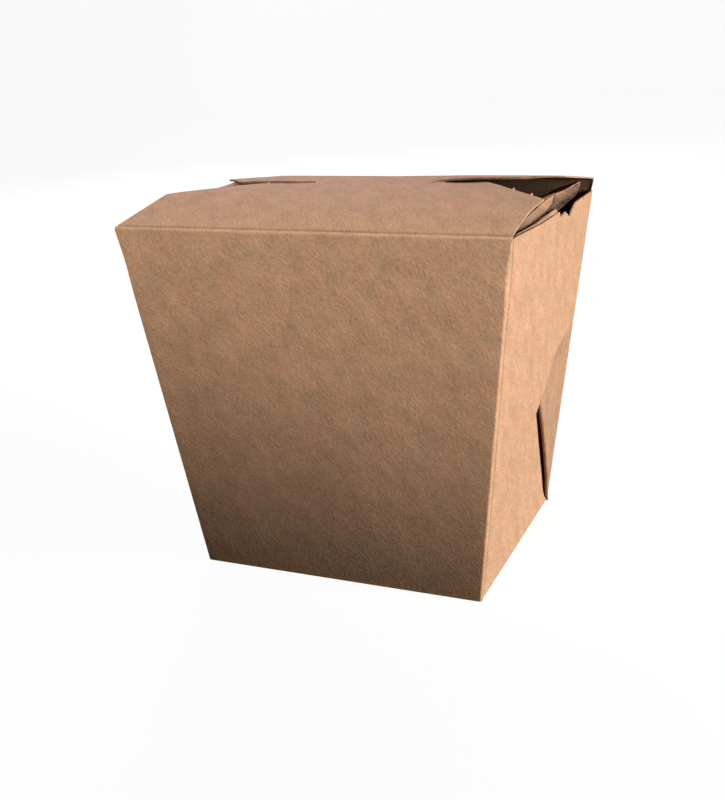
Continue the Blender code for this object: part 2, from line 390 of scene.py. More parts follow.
# %% Work out a web's lower edge and what lies behind it
WEB_POINT = (0.5466, 39.9 * MM)
WEB_BEND = (0.7134, 51.5 * MM)
WEB_BACK_Z = 57.0 * MM
WEB_LIFT = 0.5 * MM
WEB_LIFT_SHARE = 0.63
WEB_LIFT_WIDTH = 0.08
WEB_LIFT_FADE = 7 * MM
PANEL_DEPTH = 1.0 * MM
BASE_PANEL_DEPTH = 0.15 * MM
FULL_DEPTH_Z = 30 * MM


def web_bottom(share):
    """The lower edge of the front web: a fold up to its point, then the cut edge on the back web."""
    places = (0, WEB_POINT[0], WEB_BEND[0], 1)
    return np.interp(share, places, (CORNER_FOOT, WEB_POINT[1], WEB_BEND[1], WEB_BACK_Z))


def web_raise(share, z):
    """How far the back web pushes the front web out beside its point, fading upwards."""
    beside_point = WEB_LIFT * bump(WEB_LIFT_SHARE, WEB_LIFT_WIDTH, share)
    return beside_point * np.exp(-(z - web_bottom(share)) / WEB_LIFT_FADE)


def open_depth(z):
    """How deep the side panel lies under the webs: hardly at the base, and by its full depth above."""
    return BASE_PANEL_DEPTH + (PANEL_DEPTH - BASE_PANEL_DEPTH) * np.clip(z / FULL_DEPTH_Z, 0, 1)


print("a web's cut edge ends", round(1000 * float(web_bottom(1)), 1), "mm above the ground")

# %% [markdown]
# ### The torn rim
# The crease between a side wall and its flap was perforated, and gave way behind the first tooth. There
# the rim drops in steps, and torn fibres stand on it as fine teeth.

# %% Work out the rim of a side wall
RIM_PLACES = np.array([-41, -36, -16, 2.6, 3.6, 4.9, 9.7, 10.6, 12.3, 14.5, 17.2, 21, 41]) * MM
RIM_DROPS = np.array([0.5, 0.7, 2.1, 2.6, 4.0, 4.2, 3.9, 4.4, 5.1, 6.1, 4.9, 3.4, 3.6]) * MM
TORN_FROM = (3 * MM, 5 * MM)
TORN_TO = (18 * MM, 22 * MM)
TOOTH_HEIGHT = 0.06 * MM
TOOTH_SPACING = 0.35 * MM


def rim_height(share):
    """The top of a side wall, from the front corner (0) to the back one (1)."""
    y = (2 * share - 1) * TOP_HALF_DEPTH
    torn = smooth(*TORN_FROM, y) * (1 - smooth(*TORN_TO, y))
    teeth = TOOTH_HEIGHT * torn * np.sin(y / TOOTH_SPACING)
    return HEIGHT - np.interp(y, RIM_PLACES, RIM_DROPS) + teeth


print("the rim drops by up to", round(1000 * RIM_DROPS.max(), 1), "mm")

# %% [markdown]
# ### The wrap
# Going round the box, each part adds to x and y: a straight run, a quarter circle, and a straight run
# again. The wide front wall also bows a little, and a shallow groove runs beside each corner.

# %% Wrap the front board round the box
WEB_STOP = 0.4 * MM
CREASE_DEPTH = 0.15 * MM
CREASE_PLACE = 1.2 * MM
CREASE_WIDTH = 0.5 * MM
WARP = 0.25 * MM


def wall_warp(share, z):
    """How far a wall bows: two long waves that die out at its edges."""
    up = (z - FOLD_RADIUS) / (FOLD_Z - FOLD_RADIUS)
    window = (1 - share**2) * np.sin(math.pi * np.clip(up, 0, 1))
    return WARP * window * (np.sin(3.1 * share + 4 * up) + 0.6 * np.sin(6.3 * share - 3 * up + 1))


def wrap(across, z, inset):
    """Round the box at a height: half the front wall, its corner, then the side, and mirrored."""
    side = np.sign(across)
    turn = np.abs(across)
    flat = np.minimum(turn, 1)
    angle = np.clip(turn - 1, 0, 1) * math.pi / 2
    radius = corner_radius(z)
    run = np.clip(turn - 2, 0, 1) * (2 * half_depth(z) - radius - WEB_STOP)
    straight = half_length(z) - inset - radius
    groove = bump(CREASE_PLACE, CREASE_WIDTH, run) * (turn > 2)
    x = flat * straight + radius * np.sin(angle) - CREASE_DEPTH * groove
    y = -half_depth(z) + radius * (1 - np.cos(angle)) + run
    y = y - np.where(turn <= 1, wall_warp(flat * side, z), 0)
    u = side * (flat * straight + radius * angle + run)
    # The last value is painted: a painted highlight along the middle of each rounded corner, and painted
    # shade in the groove beside it.
    return side * x, y, z, u, z / math.cos(FRONT_LEAN), bump(1.5, 0.45, turn) - 2.5 * groove


def front_wrap(across, up):
    """The front wall, its rounded corners and its webs, from their lower to their upper edge."""
    turn = np.abs(across)
    share = np.clip(turn - 2, 0, 1)
    bottom = np.where(turn > 2, web_bottom(share), corner_foot(turn))
    top = np.where(turn > 2, rim_height(share), FOLD_Z)
    z = bottom + (top - bottom) * up
    return wrap(across, z, np.where(turn > 2, -web_raise(share, z), 0))


# %% [markdown]
# The grid's lines are closer where the shape is fine: at the corners, along the torn rim and at the
# torn nicks of the flap, whose columns the wall below it shares so that the two join without a seam.

# %% Choose the columns and rows
SHOULDER = (52.7 * MM, -14.7 * MM)
SHOULDER_END_X = 32.0 * MM
NECK = 19.2 * MM
NICKS = (-32.3 * MM, -28.8 * MM, -27.4 * MM, 41.8 * MM, 48.3 * MM)
NICK_WIDTH = 0.3 * MM
nick_columns = np.concatenate([nick + NICK_WIDTH * np.linspace(-2, 2, 9) for nick in NICKS])
special_columns = np.append([-NECK, NECK, -SHOULDER_END_X, SHOULDER_END_X], nick_columns) / SHOULDER[0]
FLAP_COLUMNS = np.unique(np.round(np.append(np.linspace(-1, 1, 43), special_columns), 6))
WEB_COLUMNS = spaced((1, 0), (2, 8), (2.03, 12), (2.45, 36), (2.52, 8), (2.8, 110), (3, 16))[1:]
WRAP_COLUMNS = np.concatenate([-WEB_COLUMNS[::-1], FLAP_COLUMNS, WEB_COLUMNS])
WRAP_ROWS = spaced((0, 0), (0.97, 56), (1, 6))
front_panel = patch(front_wrap, WRAP_COLUMNS, WRAP_ROWS)
print("the front wrap has", front_panel.shape[0], "columns and", front_panel.shape[1], "rows")

# %% [markdown]
# ## Rolled folds
# Where a web is folded back under itself, its edge is a tight roll of two boards. The roll is a half turn
# carried along the folded edge: out from the edge by the sine, in by the cosine, then straight back
# underneath. Where the roll would be tighter than its own board allows, it turns less.

# %% Work out a rolled fold along any edge
ROLL_RADIUS = 0.48 * MM
ROLL_RETURN = 4.0 * MM
ROLL_SLACK = 0.05 * MM
TIGHTEST_ROLL = 0.3 * MM


def side_normal(side):
    """The direction out of a side wall."""
    return np.array([side * math.cos(SIDE_LEAN), 0, -math.sin(SIDE_LEAN)])


def rolled_edge(edge, side, away, radius, back):
    """The half turn along an edge of x, y, z, u, v and painted light, and the straight return behind it."""
    out = side_normal(side)
    tangent = np.gradient(edge[:, :3], axis=0)
    beyond = np.cross(tangent, out)
    beyond /= np.linalg.norm(beyond, axis=1, keepdims=True)
    beyond *= np.sign(beyond @ np.array(away))[:, None]
    size = np.broadcast_to(radius, len(edge))[:, None]
    turned = smooth(BOARD / 2, TIGHTEST_ROLL, size)
    angle = np.linspace(0, math.pi, 9) * turned
    run_back = np.broadcast_to(back, len(edge))[:, None] * turned
    end = angle[:, -1:]
    reach = np.append(size * np.sin(angle), size * np.sin(end) + run_back * np.cos(end), axis=1)
    sink = np.append(size * (1 - np.cos(angle)), size * (1 - np.cos(end)) + run_back * np.sin(end), axis=1)
    points = edge[:, None, :3] + reach[..., None] * beyond[:, None] - sink[..., None] * out
    flat = np.repeat(edge[:, None, 3:5], reach.shape[1], axis=1)
    flat[..., 1] -= np.append(size * angle, size * end + run_back, axis=1)
    # A painted highlight along the outer curve of the roll.
    painted_light_and_marks = np.append(np.sin(angle), 0 * end, axis=1)[..., None]
    return np.concatenate([points, flat, painted_light_and_marks], axis=-1)


def front_roll(side):
    """The roll under a front web, along its fold from the bottom corner to its point."""
    share = np.abs(WRAP_COLUMNS) - 2
    folded = (share >= 0) & (share <= WEB_POINT[0]) & (WRAP_COLUMNS * side > 0)
    edge = front_panel[folded, 0]
    radius = np.minimum(ROLL_RADIUS, (open_depth(edge[:, 2]) + ROLL_SLACK) / 2)
    return rolled_edge(edge, side, (0, 1, -1), radius, ROLL_RETURN)


front_rolls = [front_roll(side) for side in (-1, 1)]
print("each front web's fold has", front_rolls[0].shape[0], "steps")

# %% [markdown]
# ## The closing flap with its tongue
# The front flap springs from the top fold, arches over the box and hooks over the back flap with a tongue
# between two slits. At the right it is bowed, at the left it runs straight, so its height is a mix of two
# curves. Past the slits it comes down again on the slope of the back flap.

# %% Work out how high the front flap stands
SLIT_Y = 7.3 * MM
FLAP_START = FOLD_RADIUS - half_depth(FOLD_Z)
BOW_HEIGHT = 3.8 * MM
BOW_REACH = 27.0 * MM
BOW_POWER = 2.4
STRAIGHT_SLOPE = 3.95 / 26.3
STRAIGHT_TOP = 3.95 * MM
LATE_START = -14 * MM
LATE_RUN = 30 * MM
LATE_FALL = 0.5 * MM
LATE_RISE = 0.4 * MM
STRAIGHT_TO_BOWED = (-50 * MM, 30 * MM)
RAMP = 0.16
STEEPER = 0.015
PRESSED = 0.3 * MM
PRESSED_LEFT = (-27 * MM, 9 * MM)
PRESSED_RIGHT = (24 * MM, 6 * MM)
PRESSED_REACH = 6 * MM


def front_height(x, y):
    """How far the front flap stands above the fold: a bow at the right, a straight rise at the left."""
    reached = np.clip((y - FLAP_START) / BOW_REACH, 0, 1)
    late = np.clip((y - LATE_START) / LATE_RUN, 0, 1)
    bowed = BOW_HEIGHT * (1 - (1 - reached) ** BOW_POWER) + LATE_RISE * late
    straight = lower_of((y - FLAP_START) * STRAIGHT_SLOPE, STRAIGHT_TOP - LATE_FALL * late, 0.25 * MM)
    mixed = straight + (bowed - straight) * smooth(*STRAIGHT_TO_BOWED, x)
    ramp = RAMP + STEEPER * smooth(-5 * MM, NECK, x)
    beside_tongue = bump(*PRESSED_LEFT, x) + bump(*PRESSED_RIGHT, x)
    pressed = PRESSED * beside_tongue * bump(SLIT_Y, PRESSED_REACH, y)
    return lower_of(mixed - pressed, (TOP_HALF_DEPTH - y) * ramp, 0.35 * MM)


print("at the slits it stands", round(1000 * float(front_height(0.0, SLIT_Y)), 2), "mm above its fold")

# %% [markdown]
# ### The flap's outline
# The blank hung in its sheet by a few small bridges, which tore out as nicks when it was pressed free.
# The fold is a small bead, a quarter turn, with a shallow groove behind it.

# %% Work out the front flap
NICK = 0.8 * MM
NICK_CURL = 0.4 * MM
GROOVE_PLACE = 0.7 * MM
GROOVE_DEPTH = 0.16 * MM
FLAP_RISE_RUN = 1.2 * MM
FOLD_V = FOLD_Z / math.cos(FRONT_LEAN)


def nicks(x):
    """Narrow bells where the blank was held in its sheet and torn out."""
    return sum(bump(nick, NICK_WIDTH, x) for nick in NICKS)


def rear_edge(x):
    """Where the front flap ends: at the slits, then slanting forward to its shoulders, with torn nicks."""
    slant = np.clip((np.abs(x) - SHOULDER_END_X) / (SHOULDER[0] - SHOULDER_END_X), 0, 1)
    return SLIT_Y + (SHOULDER[1] - SLIT_Y) * slant + NICK * nicks(x)


def quarter_turn(along, radius):
    """How far on, how far sideways and how far along the board a quarter turn has come."""
    angle = np.clip(along, 0, 1) * math.pi / 2
    return radius * np.sin(angle), radius * (1 - np.cos(angle)), radius * angle


def fold_groove(run, along):
    """The groove beside a fold's bead, as two bells: how deep it is, and how much painted shade darkens it.
    """
    depth = GROOVE_DEPTH * bump(GROOVE_PLACE, 0.35 * MM, run) * (along > 1)
    return depth, 3 * bump(GROOVE_PLACE, 0.4 * MM, run) * (along > 1)


def front_flap(across, along):
    """The bead of the fold for along from 0 to 1, then the flap out to its rear edge from 1 to 2."""
    rise, back, turned = quarter_turn(along, FOLD_RADIUS)
    fold_x = across * (half_length(FOLD_Z) - corner_radius(FOLD_Z))
    end_x = across * SHOULDER[0]
    run = (rear_edge(end_x) - FLAP_START) * np.clip(along - 1, 0, 1)
    y = FLAP_START + run
    x = fold_x + (end_x - fold_x) * np.clip(run / (SHOULDER[1] - FLAP_START), 0, 1)
    groove, groove_shade = fold_groove(run, along)
    z = FOLD_Z + rise + front_height(x, y) * smooth(0, FLAP_RISE_RUN, run) - groove
    curled = nicks(end_x) * smooth(1.95, 2, along)
    # A painted highlight on the bead and painted shade in the groove; the torn nicks are lighter.
    painted_light_and_marks = 1.3 * bump(0.5, 0.6, along) - groove_shade + 5 * curled
    return x, y - FOLD_RADIUS + back, z + NICK_CURL * curled, x, FOLD_V + turned + run, painted_light_and_marks


FLAP_ROWS = spaced((0, 0), (1, 6), (1.06, 14), (2, 40))
front_flap_panel = patch(front_flap, FLAP_COLUMNS, FLAP_ROWS)
front_rise = front_flap_panel[..., 2].max() - HEIGHT
print("the front flap stands", round(1000 * front_rise, 2), "mm above its fold")

# %% [markdown]
# ### The tongue
# The tongue carries on from the flap between the slits, on the same height formula, so it needs only its
# own outline: an end that is rounded by a high power of the distance from the middle.

# %% Work out the tongue
TONGUE_END_Y = 30.0 * MM
TONGUE_ROUNDING = 5.0 * MM


def tongue(x, along):
    """The tongue from the slits to its rounded end, over the ridge and down on the back flap."""
    end = TONGUE_END_Y - TONGUE_ROUNDING * (np.abs(x) / NECK) ** 6
    y = SLIT_Y + (end - SLIT_Y) * along
    v = FOLD_V + FOLD_RADIUS * math.pi / 2 + y - FLAP_START
    narrow = 1 - 0.02 * smooth(0, 0.3, along)
    return x * narrow, y, HEIGHT + front_height(x, y), x, v, 0 * x


in_neck = np.abs(FLAP_COLUMNS) * SHOULDER[0] <= NECK + 0.01 * MM
tongue_panel = patch(tongue, front_flap_panel[in_neck, -1, 0], np.linspace(0, 1, 24))
print("the tongue has", tongue_panel.shape[0], "columns")

# %% [markdown]
# ## The base
# The base is the front wall's next panel in the blank, so it carries on from the front wall's lower
# edge: a quarter turn, then flat to the back. It narrows a little, to lie between the side panels.

# %% Work out the base and make the front board
def base(across, along):
    """The quarter turn under the front wall for along from 0 to 1, then the flat base from 1 to 2."""
    drop, back, turned = quarter_turn(along, BASE_RADIUS)
    start = -half_depth(BASE_RADIUS)
    run = (2 * BASE_HALF_DEPTH - 2 * BASE_RADIUS) * np.clip(along - 1, 0, 1)
    fold_x = across * (half_length(BASE_RADIUS) - corner_radius(BASE_RADIUS))
    narrow = BOARD * smooth(0, 1.5 * MM, run)
    x = fold_x * (1 - narrow / BASE_HALF_LENGTH)
    # The last value is a painted highlight on the bead of the fold.
    return x, start + back + run, BASE_RADIUS - drop, x, -turned - run, bump(0.5, 0.6, along)


base_panel = patch(base, FLAP_COLUMNS, spaced((0, 0), (1, 6), (1.03, 4), (2, 20)))
front_panels = [front_panel, *front_rolls, front_flap_panel, tongue_panel, base_panel]
board("front_board", front_panels, (0, -1, 0.2), FINISHES)

# %% [markdown]
# ## The back wall, its flap and its webs
# The back wall is wrapped by the same formula, turned to face backwards, and set in by one board where the
# front web lies over it. Its upper corners are cut away, and the left end of its fold has sagged.

# %% Work out the back wall
LAYER = 0.55 * MM
CORNER_CUT = 3.8 * MM
CORNER_SAG = 0.5 * MM
SAG_FROM = (44 * MM, 52 * MM)


def back_inset(z):
    """The back wall is one board narrower under the front webs, but not above the side rims."""
    covered = smooth(WEB_BACK_Z - 1 * MM, WEB_BACK_Z + 5 * MM, z)
    return LAYER * (covered - smooth(FOLD_Z - CORNER_CUT - 2 * MM, FOLD_Z - CORNER_CUT, z))


def corner_sag(x):
    """The left end of the back fold has sagged a little, where the flap pulls it down."""
    return CORNER_SAG * smooth(*SAG_FROM, -x)


def back_wrap(across, up):
    """The back wall and its corners, from the base fold up; the corners stop at the side rims."""
    turn = np.abs(across)
    foot = corner_foot(turn)
    top = FOLD_Z - CORNER_CUT * (turn > 1)
    z = foot + (top - foot) * up
    x, y, z, u, v, painted_light_and_marks = wrap(across, z, back_inset(z))
    z = z - corner_sag(x) * (turn <= 1) * np.clip(up, 0, 1) ** 12
    # Painted shade darkens the back wall's end above each cut-away corner.
    cut_end_shade = bump(1, 0.03, turn) * smooth(FOLD_Z - CORNER_CUT, FOLD_Z - 3 * MM, z)
    return x, -y, z, -u, v, painted_light_and_marks - 5 * cut_end_shade


WEB_TOP_Z = 61.0 * MM
BACK_ROWS = spaced((0, 0), (WEB_TOP_Z / FOLD_Z, 40), (1, 20))
BACK_CORNERS = spaced((1, 0), (2, 8))[1:]
tongue_edges = [-0.4, -0.38, -0.36, 0.36, 0.38, 0.4]
BACK_COLUMNS = np.unique(np.round(np.append(np.linspace(-1, 1, 71), tongue_edges), 6))
BACK_WRAP_COLUMNS = np.concatenate([-BACK_CORNERS[::-1], BACK_COLUMNS, BACK_CORNERS])
back_panel = patch(back_wrap, BACK_WRAP_COLUMNS, BACK_ROWS)
print("the back wrap has", back_panel.shape[0], "columns and", back_panel.shape[1], "rows")

# %% [markdown]
# ### The back flap
# The back flap rises straight from its fold and levels off. In the middle it lies one board under the
# tongue. Beside the slits it ends over the front flap: the right-hand end is sprung up and leaves the dark
# gap, and the left-hand end droops.

# %% Work out how high the back flap stands
RIGHT_RAMP = 0.178
RIGHT_PLACES = np.array([19, 24, 28.6, 40, 46.5, 52]) * MM
RIGHT_TOPS = np.array([4.45, 4.85, 5.1, 5.2, 5.1, 4.85]) * MM
LEFT_TOP = 4.25 * MM
DROOP_PLACES = np.array([-52, -46, -41.5, -37, -30]) * MM
DROOPS = np.array([0.7, 0.92, 0.65, 0.4, 0.3]) * MM
DROOP_RUN = 24.0 * MM
LEFT_TO_RIGHT = (-5 * MM, 22 * MM)
TUCK_RUN = 11.0 * MM


def back_height(x, y):
    """How far the back flap stands above its fold: a straight ramp that levels off, by side."""
    level_right = np.interp(x, RIGHT_PLACES, RIGHT_TOPS)
    right = lower_of((TOP_HALF_DEPTH - y) * RIGHT_RAMP, level_right, 0.4 * MM)
    droop = np.interp(x, DROOP_PLACES, DROOPS) * np.clip((TOP_HALF_DEPTH - y) / DROOP_RUN, 0, 1)
    left = lower_of((TOP_HALF_DEPTH - y) * RAMP, LEFT_TOP, 0.4 * MM) - droop
    height = left + (right - left) * smooth(*LEFT_TO_RIGHT, x)
    under = LAYER * (1 - smooth(NECK - 3 * MM, NECK - 0.8 * MM, np.abs(x)))
    return height - under * np.clip((TOP_HALF_DEPTH - y) / TUCK_RUN, 0, 1)


# %% [markdown]
# The left and the right end of the flap differ by a millimetre or two, so each of their sizes is a pair,
# the left one first.

# %% Work out the back flap
BACK_CORNER_X = 41.6 * MM
BACK_EDGE_MIDDLE = 5.5 * MM
BACK_EDGES = (6.6 * MM, 8.0 * MM)
BACK_SHOULDERS_X = (51.2 * MM, 50.0 * MM)
BACK_SHOULDERS_Y = (17.0 * MM, 16.5 * MM)


def by_side(across, values):
    """The left or the right one of two values."""
    return np.where(across > 0, values[1], values[0])


def back_edge(across):
    """Where the back flap ends: in front of the slits in the middle, and slanting back to its shoulders."""
    shoulder_x = by_side(across, BACK_SHOULDERS_X)
    beside = by_side(across, BACK_EDGES)
    x = np.abs(across) * shoulder_x
    slant = np.clip((x - BACK_CORNER_X) / (shoulder_x - BACK_CORNER_X), 0, 1)
    past_tongue = smooth(NECK - 2.5 * MM, NECK - 1.2 * MM, x)
    straight = BACK_EDGE_MIDDLE + (beside - BACK_EDGE_MIDDLE) * past_tongue
    return straight + (by_side(across, BACK_SHOULDERS_Y) - beside) * slant


def back_flap(across, along):
    """The bead of the fold for along from 0 to 1, then the flap forward to its free edge from 1 to 2."""
    rise, back, turned = quarter_turn(along, FOLD_RADIUS)
    fold_x = across * (half_length(FOLD_Z) - back_inset(FOLD_Z) - corner_radius(FOLD_Z))
    run = (-FLAP_START - back_edge(across)) * np.clip(along - 1, 0, 1)
    y = -FLAP_START - run
    narrowed = np.clip(run / (-FLAP_START - by_side(across, BACK_SHOULDERS_Y)), 0, 1)
    x = fold_x + (across * by_side(across, BACK_SHOULDERS_X) - fold_x) * narrowed
    groove, groove_shade = fold_groove(run, along)
    z = FOLD_Z + rise + back_height(x, y) * smooth(0, FLAP_RISE_RUN, run) - groove - corner_sag(x)
    # A painted highlight on the bead, painted shade in the groove, and a painted shadow along the free
    # edge.
    painted_light_and_marks = bump(0.5, 0.6, along) - groove_shade - 5 * smooth(1.98, 2, along)
    return x, y + FOLD_RADIUS - back, z, -x, FOLD_V + turned + run, painted_light_and_marks


back_flap_panel = patch(back_flap, BACK_COLUMNS, FLAP_ROWS)
back_rise = back_flap_panel[..., 2].max() - HEIGHT
print("the back flap stands", round(1000 * back_rise, 2), "mm above its fold")

# %% [markdown]
# ### The back webs
# Each back web is hinged on its corner and folded back on a line from the bottom corner to its point. It
# tries to open again, so its folded edge stands off the panel, most in the middle, and leaves a dark slit.

# %% Work out the back webs and make the back board
BACK_POINT = (5.7 * MM, 41.6 * MM)
WEB_START_Z = 0.4 * MM
WEB_TUCK = 1.2
WEB_SINK = 0.5 * MM
SPRING_PLACES = (0, 0.25, 0.5, 0.8, 1.0, 1.1, 1.2)
SPRINGS = np.array([0.3, 0.85, 0.95, 0.8, 0.42, -0.3, -0.5]) * MM
BACK_ROLL = 0.5 * MM
WEB_SHADE = -1.5
ROLL_SHADE = -3.0


def back_fold_y(z):
    """The back web's fold runs straight from the bottom corner to its point."""
    return BASE_HALF_DEPTH + (BACK_POINT[0] - BASE_HALF_DEPTH) * z / BACK_POINT[1]


def back_web(side):
    """Straight lines from the hinge to the fold, sunk under the front web and sprung out at the fold."""
    corner = back_panel[-1 if side > 0 else 0]
    hinge = corner[corner[:, 2] <= WEB_TOP_Z + 1e-6]
    place = np.linspace(0, WEB_TUCK, len(hinge))[:, None, None]
    across = np.linspace(0, 1, 25)[None, :, None]
    z = WEB_START_Z + BACK_POINT[1] * place
    fold = np.concatenate([side * half_length(z), back_fold_y(z), z], axis=-1)
    flat = hinge[:, None, :3] + (fold - hinge[:, None, :3]) * across
    sunk = -WEB_SINK * smooth(0.5, 0.9, place)
    spring = (np.interp(place, SPRING_PLACES, SPRINGS) - sunk) * across**1.5
    points = flat + (sunk * smooth(0, 0.12, across) + spring) * side_normal(side)
    width = np.abs(hinge[:, None, 1:2] - points[..., 1:2])
    board_place = np.concatenate([hinge[:, None, 3:4] - side * width, points[..., 2:3]], axis=-1)
    return np.concatenate([points, board_place, WEB_SHADE + 0 * width], axis=-1)


def back_roll(web, side):
    """The roll along a back web's fold, whose return is shorter than the web where that is narrow."""
    width = np.abs(web[:, 0, 1] - web[:, -1, 1])
    roll = rolled_edge(web[:, -1], side, (0, -1, -1), BACK_ROLL, np.minimum(ROLL_RETURN, 0.5 * width))
    roll[..., 5] = ROLL_SHADE
    return roll


back_webs = [back_web(side) for side in (-1, 1)]
back_rolls = [back_roll(web, side) for web, side in zip(back_webs, (-1, 1))]
board("back_board", [back_panel, back_flap_panel, *back_webs, *back_rolls], (0, 1, 0.2), FINISHES)

# %% [markdown]
# ## The side panels
# The side panel shows only as a triangle at the bottom, two boards behind the webs. Further up it runs
# hidden behind them to just under the rim, where its flap is hinged up to the tear and torn off behind it.

# %% Work out a side panel
PANEL_STOP = 0.5 * MM
TOP_PANEL_DEPTH = 0.5 * MM
PRESSED_IN = (-3.5 * MM, -0.8 * MM)
FLAP_DROP = 0.2 * MM
TORN_DROP = 4.0 * MM
TEAR_Y = 3.0 * MM


def panel_depth(y, z):
    """How deep the panel lies: flush at the base, close behind the rim, pressed in at the back web."""
    fold_y = back_fold_y(z)
    beside_fold = smooth(fold_y + PRESSED_IN[0], fold_y + PRESSED_IN[1], y) * smooth(0, 3 * MM, z)
    depth = open_depth(z) + (PANEL_DEPTH - open_depth(z)) * beside_fold
    return depth + (TOP_PANEL_DEPTH - PANEL_DEPTH) * smooth(80 * MM, 90 * MM, z)


def panel(side):
    """The side panel: a quarter turn up from the base, then flat to just under the rim."""

    def place(y_share, along):
        outward, lift, turned = quarter_turn(along, BASE_RADIUS)
        torn = TORN_DROP * smooth(TEAR_Y + 0.1 * MM, TEAR_Y + 1.5 * MM, y_share * TOP_HALF_DEPTH)
        top = rim_height((y_share + 1) / 2) - FLAP_DROP - torn
        z = lift + (top - BASE_RADIUS) * np.clip(along - 1, 0, 1)
        y = y_share * (half_depth(z) - PANEL_STOP)
        x = half_length(z) - panel_depth(y, z) - BASE_RADIUS + outward
        # The last value is a painted highlight on the bead of the fold.
        return side * x, y, z, 0.2 + side * y, z, bump(0.5, 0.6, along)

    return place


# %% [markdown]
# ## The side flaps
# From the rim the side flap folds in under the closing flaps, and it is bent along a ridge. In front of the
# tear it still hangs on the rim, and behind the tear it has sprung free. The left flap is pushed up higher
# than the right one.

# %% Work out the ridge of a side flap
RIDGE_SHARE = 0.45
RIDGE_PLACES = np.array([-38, 10, 36]) * MM
RIDGE_X = np.array([49.6, 47.2, 49.4]) * MM
RIDGE_Z = np.array([96.2, 96.4, 96.5]) * MM
LEFT_LIFT_PLACES = np.array([-38, -10, 15, 36]) * MM
LEFT_LIFTS = np.array([0, 3.0, 3.0, -0.4]) * MM
INNER_X = 42.0 * MM
INNER_FALL = 2.2 * MM
SIDE_FLAP_WIDTH = 12 * MM


def left_lift(side, y):
    """The left flap is pushed up against the closing flaps, which come down towards the back."""
    return np.interp(y, LEFT_LIFT_PLACES, LEFT_LIFTS) * (side < 0)


def ridge_surface(side, y, outer_x, outer_z, across, hollow):
    """Across a side flap: a hollow from its outer edge up to the ridge, then down to its inner edge."""
    ridge_x = np.interp(y, RIDGE_PLACES, RIDGE_X)
    ridge_z = np.interp(y, RIDGE_PLACES, RIDGE_Z) + left_lift(side, y)
    to_ridge = np.clip(across / RIDGE_SHARE, 0, 1)
    past = np.clip((across - RIDGE_SHARE) / (1 - RIDGE_SHARE), 0, 1)
    x = outer_x + (ridge_x - outer_x) * to_ridge + (INNER_X - ridge_x) * past
    z = outer_z + (ridge_z - outer_z) * to_ridge**hollow - INNER_FALL * past**1.3
    # A painted highlight along the ridge.
    painted_light_and_marks = 2 * bump(RIDGE_SHARE, 0.03, across)
    return side * x, y, z, 0.2 + side * y, HEIGHT + SIDE_FLAP_WIDTH * across, painted_light_and_marks


print("the ridge lies", round(1000 * RIDGE_Z.mean(), 1), "mm above the ground")

# %% [markdown]
# ### The part on the rim
# The outer edge of this part is a strip of torn board that has curled up; it is darker towards the front,
# with painted shadow just behind it. Its far end follows the tear, which starts at the rim, jumps forward
# behind the strip and then slants back.

# %% Work out the part on the rim
HOLLOW = 1.3
TEAR_PLACES = (0, 0.09, 0.12, 0.22, RIDGE_SHARE, 1)
TEAR_YS = np.array([3, 3, -5, 8, 15, 20]) * MM
STRIP_END = 0.10
STRIP_HEIGHTS = (0.5 * MM, 0.9 * MM)


def tear_line(across):
    """Where the tear crosses the flap: back at the rim, forward behind the curled strip, then slanting."""
    return np.interp(across, TEAR_PLACES, TEAR_YS)


def near_flap(side):
    """The part that hangs on the rim, with a curled strip of torn board along its outer edge."""

    def place(y_share, across):
        z = rim_height((y_share + 1) / 2) - FLAP_DROP
        hinge_y = y_share * (half_depth(z) - PANEL_STOP)
        torn_end = ((hinge_y + TOP_HALF_DEPTH) / (TEAR_Y + TOP_HALF_DEPTH)) ** 4
        y = hinge_y + (tear_line(across) - TEAR_Y) * torn_end
        outer_x = half_length(z) - panel_depth(hinge_y, z)
        x, y, z, u, v, painted_light_and_marks = ridge_surface(side, y, outer_x, z, across, HOLLOW)
        strip = smooth(-39 * MM, -33 * MM, hinge_y)
        curl = np.sin(math.pi * np.clip(across / STRIP_END, 0, 1))
        # behind marks the painted shadow just behind the strip.
        behind = bump(STRIP_END + 0.01, 0.02, across)
        strip_darkening = 3.5 - 3.0 * smooth(-20 * MM, 2 * MM, hinge_y)
        taller = smooth(-25 * MM, -8 * MM, hinge_y)
        height = STRIP_HEIGHTS[0] + (STRIP_HEIGHTS[1] - STRIP_HEIGHTS[0]) * taller
        # The strip is darker towards the front, painted shadow lies behind it, and the whole part is a
        # little darker.
        shade = painted_light_and_marks - strip * (strip_darkening * curl + 1.5 * behind) - 0.5
        return x, y, z + height * strip * curl, u, v, shade

    return place


# %% [markdown]
# ### The part behind the tear
# This part is bent along the same ridge, so it shares that formula. Its outer edge is free and its far end
# is cut at a slant. Painted shade darkens its outer part, most at the free edge, painted light brightens
# the inner slope near the tear, and a painted dark line along the bend stands for the shade in a slot.

# %% Work out the part behind the tear
FREE_HOLLOW = 1.15
TEAR_GAP = 0.6 * MM
TEAR_LIFT = 0.4 * MM
FREE_X = 51.1 * MM
FREE_TAPER = 0.5 * MM
FREE_Z = 94.6 * MM
FREE_LIFT_SHARE = 0.8
FLAP_END_Y = 36.0 * MM
END_SLANT = 9.0 * MM


